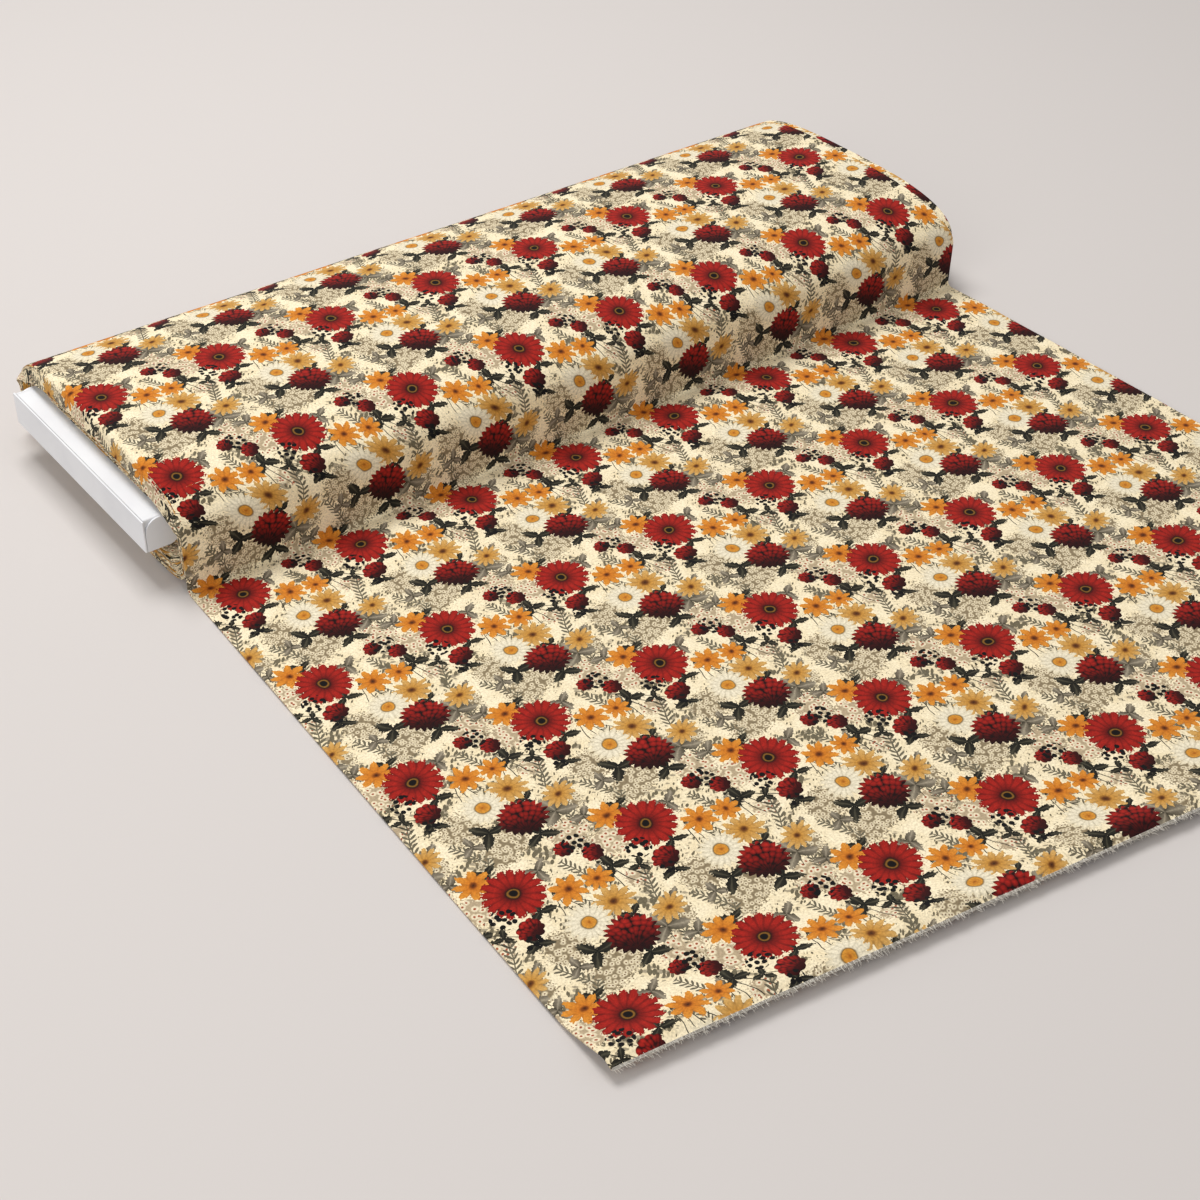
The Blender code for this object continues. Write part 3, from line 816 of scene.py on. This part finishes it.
def threads(name, bases, outward, seed, lengths, made):
    """Loose thread ends along an edge: thin three-sided spikes that start at their bases, lean at random
    off the outward direction, droop and bend a little. A spike is p = base + l (t d + t^2 b), with t from 0
    to 1 in three rings that narrow to a point."""
    rng = np.random.default_rng(seed)
    count = len(bases)
    lean = rng.normal(0, 0.35, (count, 3)) * [1, 1, 0.45]
    bend = rng.normal(0, 0.30, (count, 3)) * [1, 1, 0.5]
    lean[:, 2] = -np.abs(lean[:, 2])
    bend[:, 2] = -np.abs(bend[:, 2])
    length = rng.uniform(*lengths, (count, 1))
    direction = outward + lean
    direction /= np.linalg.norm(direction, axis=1, keepdims=True)
    side = np.cross(direction, [0.0, 0.0, 1.0])
    side /= np.linalg.norm(side, axis=1, keepdims=True)
    over = np.cross(side, direction)
    rings = []
    for share, radius in THREAD_RINGS:
        middle = bases + length * (share * direction + share**2 * bend)
        for turn in np.radians([90, 210, 330]):
            rings.append(middle + radius * (math.cos(turn) * side + math.sin(turn) * over))
    rings.append(bases + length * (direction + bend))
    points = np.stack(rings, 1)
    points[..., 2] = np.maximum(points[..., 2], THREAD_LOWEST)
    faces = [[0, 2, 1]]
    for low in (0, 3):
        faces += [[low + k, low + (k + 1) % 3, low + 3 + (k + 1) % 3, low + 3 + k] for k in range(3)]
    faces += [[6 + k, 6 + (k + 1) % 3, 9] for k in range(3)]
    all_faces = [(np.array(face) + 10 * np.arange(count)[:, None]).tolist() for face in faces]
    mesh = bpy.data.meshes.new(name)
    mesh.from_pydata((points.reshape(-1, 3) + ORIGIN).tolist(), [], sum(all_faces, []))
    mesh.materials.append(made)
    mesh.shade_smooth()
    mesh.update()
    piece = bpy.data.objects.new(name, mesh)
    bpy.context.scene.collection.objects.link(piece)
    return piece


def along_line(line, gap, seed):
    """Points strewn along a line of points, this far apart on average."""
    run = along_rows(line)
    rng = np.random.default_rng(seed)
    places = np.sort(rng.uniform(0, run[-1], int(run[-1] / gap)))
    return np.stack([np.interp(places, run, line[:, k]) for k in range(3)], -1)


# ---------------------------------------------------------------- scene


def set_camera():
    """A long lens from the front left, looking down on the bolt's open end."""
    yaw, pitch, roll = np.radians(CAMERA_TURN)
    forward = np.array([math.sin(yaw) * math.cos(pitch), math.cos(yaw) * math.cos(pitch), -math.sin(pitch)])
    right = np.array([math.cos(yaw), -math.sin(yaw), 0.0])
    up = np.cross(right, forward)
    across = right * math.cos(roll) + up * math.sin(roll)
    upward = up * math.cos(roll) - right * math.sin(roll)
    camera = bpy.data.objects.new("camera", bpy.data.cameras.new("camera"))
    bpy.context.scene.collection.objects.link(camera)
    camera.data.sensor_width = 36.0
    camera.data.lens = 60.59
    turned = np.eye(4)
    turned[:3, :3] = np.stack([across, upward, -forward], -1)
    turned[:3, 3] = ORIGIN + CAMERA_PLACE
    camera.matrix_world = Matrix(turned.tolist())
    camera.data.clip_start = 0.05
    bpy.context.scene.camera = camera


def add_light(name, place, target, size, power):
    """A square soft white light that faces its target."""
    data = bpy.data.lights.new(name, "AREA")
    data.size = size
    data.energy = power
    light = bpy.data.objects.new(name, data)
    bpy.context.scene.collection.objects.link(light)
    back = np.array(place, float) - np.array(target, float)
    back /= np.linalg.norm(back)
    side = np.cross([0, 0, 1], back)
    side /= np.linalg.norm(side)
    turned = np.eye(4)
    turned[:3, :3] = np.stack([side, np.cross(back, side), back], -1)
    turned[:3, 3] = place
    light.matrix_world = Matrix(turned.tolist())


def set_studio():
    """A pale floor, a large soft light from behind, a weaker one from the left, and an even sky."""
    mesh = bpy.data.meshes.new("floor")
    reach = 8.0
    corners = [(-reach, -reach, 0), (reach, -reach, 0), (reach, reach, 0), (-reach, reach, 0)]
    mesh.from_pydata(corners, [], [(0, 1, 2, 3)])
    floor = bpy.data.objects.new("floor", mesh)
    bpy.context.scene.collection.objects.link(floor)
    made, _, shader = new_material("pale_floor")
    shader.inputs["Base Color"].default_value = linear("#D2CCC8")
    shader.inputs["Roughness"].default_value = 0.9
    mesh.materials.append(made)
    add_light("key", (-0.15, 1.2, 2.5), target=(0, 0, 0), size=1.2, power=50)
    add_light("fill", (-2.3, -0.9, 1.5), target=(0, 0, 0), size=2.0, power=24)
    world = bpy.data.worlds.new("sky")
    bpy.context.scene.world = world
    world.use_nodes = True
    background = world.node_tree.nodes["Background"]
    background.inputs["Color"].default_value = linear("#F8F6F5")
    background.inputs["Strength"].default_value = 0.45
    bpy.context.scene.view_settings.view_transform = "Standard"


set_camera()
set_studio()

PRINTED = printed_cotton()
PLAIN = plain_cotton()
WHITE = white_card()
BROWN = brown_card()

laid, laid_grids, laid_v, laid_columns = laid_cloth([PRINTED, PLAIN])
last_turn, next_v = outer_turn_cloth([PRINTED, PLAIN], float(laid_v[-1, 0]))
wound, end_v = wound_cloth([PRINTED, PLAIN], next_v)

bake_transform(laid)
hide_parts("laid_length")
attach(last_turn, "bolt")
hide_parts("outer_turn")
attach(wound, "bolt")
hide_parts("wound_pack")

upper = laid_columns[1] == 0
under = laid_columns[1] == math.pi
middle_laid = (laid_grids[0] + laid_grids[1]) / 2
cut_lines = [middle_laid[0, upper], middle_laid[0, under]]
cut_bases = np.concatenate([along_line(line, CUT_THREAD_GAP, 41 + k) for k, line in enumerate(cut_lines)])
forward = np.array([0.0, -1.0, 0.0])
cut_ends = threads("cut_edge_threads", cut_bases, forward, 43, CUT_THREADS, PLAIN)
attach(cut_ends, "laid_cloth")
flat_rows = laid_v[:, -1] < -UNDER_BOLT
side_lines = [middle_laid[flat_rows, -1], middle_laid[flat_rows, 0]]
side_bases = [along_line(line, SELVEDGE_THREAD_GAP, 51 + k) for k, line in enumerate(side_lines)]
sideways = np.array([1.0, 0.0, 0.0])
side_ends = threads("selvedge_threads", np.concatenate(side_bases), sideways, 53, SELVEDGE_THREADS, PLAIN)
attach(side_ends, "laid_cloth")

for name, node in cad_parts.items():
    if name in ("laid_length", "outer_turn", "wound_pack"):
        continue
    card = BROWN if "rib" in name or "stiffener" in name else WHITE
    for slot in node.material_slots:
        slot.material = card
    # A node is loose triangles, so it is welded before its edges are worn
    weld = node.modifiers.new("weld", "WELD")
    weld.merge_threshold = 0.00002
    worn = node.modifiers.new("worn_edges", "BEVEL")
    worn.width = 0.0004
    worn.segments = 2
    worn.limit_method = "ANGLE"
    worn.harden_normals = True
